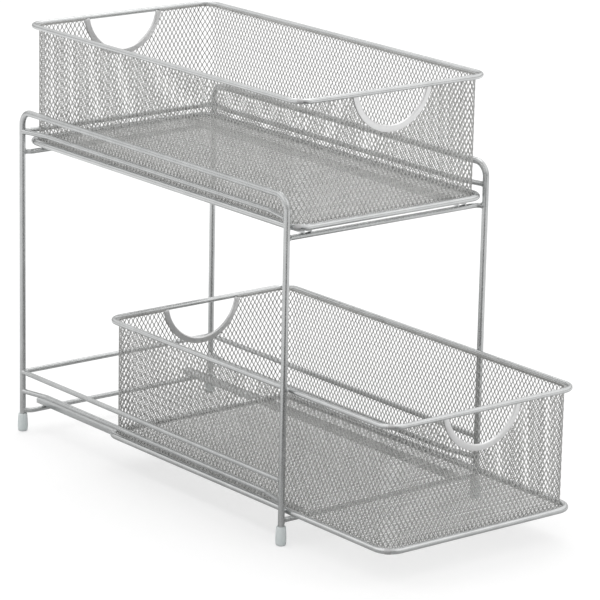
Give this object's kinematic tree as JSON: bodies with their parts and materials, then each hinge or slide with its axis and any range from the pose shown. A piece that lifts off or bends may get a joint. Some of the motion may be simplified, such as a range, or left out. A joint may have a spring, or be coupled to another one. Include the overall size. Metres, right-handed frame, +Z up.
{
  "type": "pull-out basket organizer",
  "caption": "Tall narrow two-tier cabinet organizer: a bent-wire frame on capped feet with sliding mesh baskets that pull out by cut-out handles.",
  "frame": {"origin": "on the floor, at the middle of the bounding box's underside in the rest pose, which has the lower basket pulled out 112 mm; the frame's own middle is 56.8 mm behind it", "axes": "+X to the right and -Y to the front as seen by someone who pulls a basket out, +Z up"},
  "size_m": [0.2004, 0.4696, 0.3399],
  "materials": {
    "frame_wire": "silver metallic coat, glossy, on steel wire",
    "runner_sheet": "silver metallic coat, satin, on folded sheet",
    "basket_wire": "silver metallic coat, glossy, on steel wire",
    "basket_mesh": "silver metallic coat, satin, on expanded steel mesh",
    "handle_trim": "silver metallic coat, glossy, on folded steel edging",
    "foot_plastic": "translucent white, smooth"
  },
  "bodies": {
    "frame": {"left_side_frame": "frame_wire", "right_side_frame": "frame_wire", "lower_left_guide_rail": "frame_wire", "lower_right_guide_rail": "frame_wire", "upper_left_hold_rail": "frame_wire", "upper_right_hold_rail": "frame_wire", "lower_left_hold_rail": "frame_wire", "lower_right_hold_rail": "frame_wire", "upper_front_crossbar": "frame_wire", "upper_rear_crossbar": "frame_wire", "lower_front_crossbar": "frame_wire", "lower_rear_crossbar": "frame_wire", "upper_stop_bar": "frame_wire", "lower_stop_bar": "frame_wire", "upper_left_runner": "runner_sheet", "upper_right_runner": "runner_sheet", "lower_left_runner": "runner_sheet", "lower_right_runner": "runner_sheet", "front_left_foot": "foot_plastic", "front_right_foot": "foot_plastic", "rear_left_foot": "foot_plastic", "rear_right_foot": "foot_plastic"},
    "upper_basket": {"upper_top_rim": "basket_wire", "upper_base_rim": "basket_wire", "upper_floor_mesh": "basket_mesh", "upper_front_mesh": "basket_mesh", "upper_rear_mesh": "basket_mesh", "upper_left_mesh": "basket_mesh", "upper_right_mesh": "basket_mesh", "upper_corner_mesh": "basket_mesh", "upper_front_handle_trim": "basket_wire", "upper_rear_handle_trim": "basket_wire"},
    "lower_basket": {"lower_top_rim": "basket_wire", "lower_base_rim": "basket_wire", "lower_floor_mesh": "basket_mesh", "lower_front_mesh": "basket_mesh", "lower_rear_mesh": "basket_mesh", "lower_left_mesh": "basket_mesh", "lower_right_mesh": "basket_mesh", "lower_corner_mesh": "basket_mesh", "lower_front_handle_trim": "basket_wire", "lower_rear_handle_trim": "basket_wire"}
  },
  "joints": [
    {"name": "upper_basket_slide", "type": "slide", "parent": "frame", "child": "upper_basket", "axis": [0, -1, 0], "range_m": [0, 0.26]},
    {"name": "lower_basket_slide", "type": "slide", "parent": "frame", "child": "lower_basket", "axis": [0, -1, 0], "range_m": [-0.112, 0.148]}
  ]
}
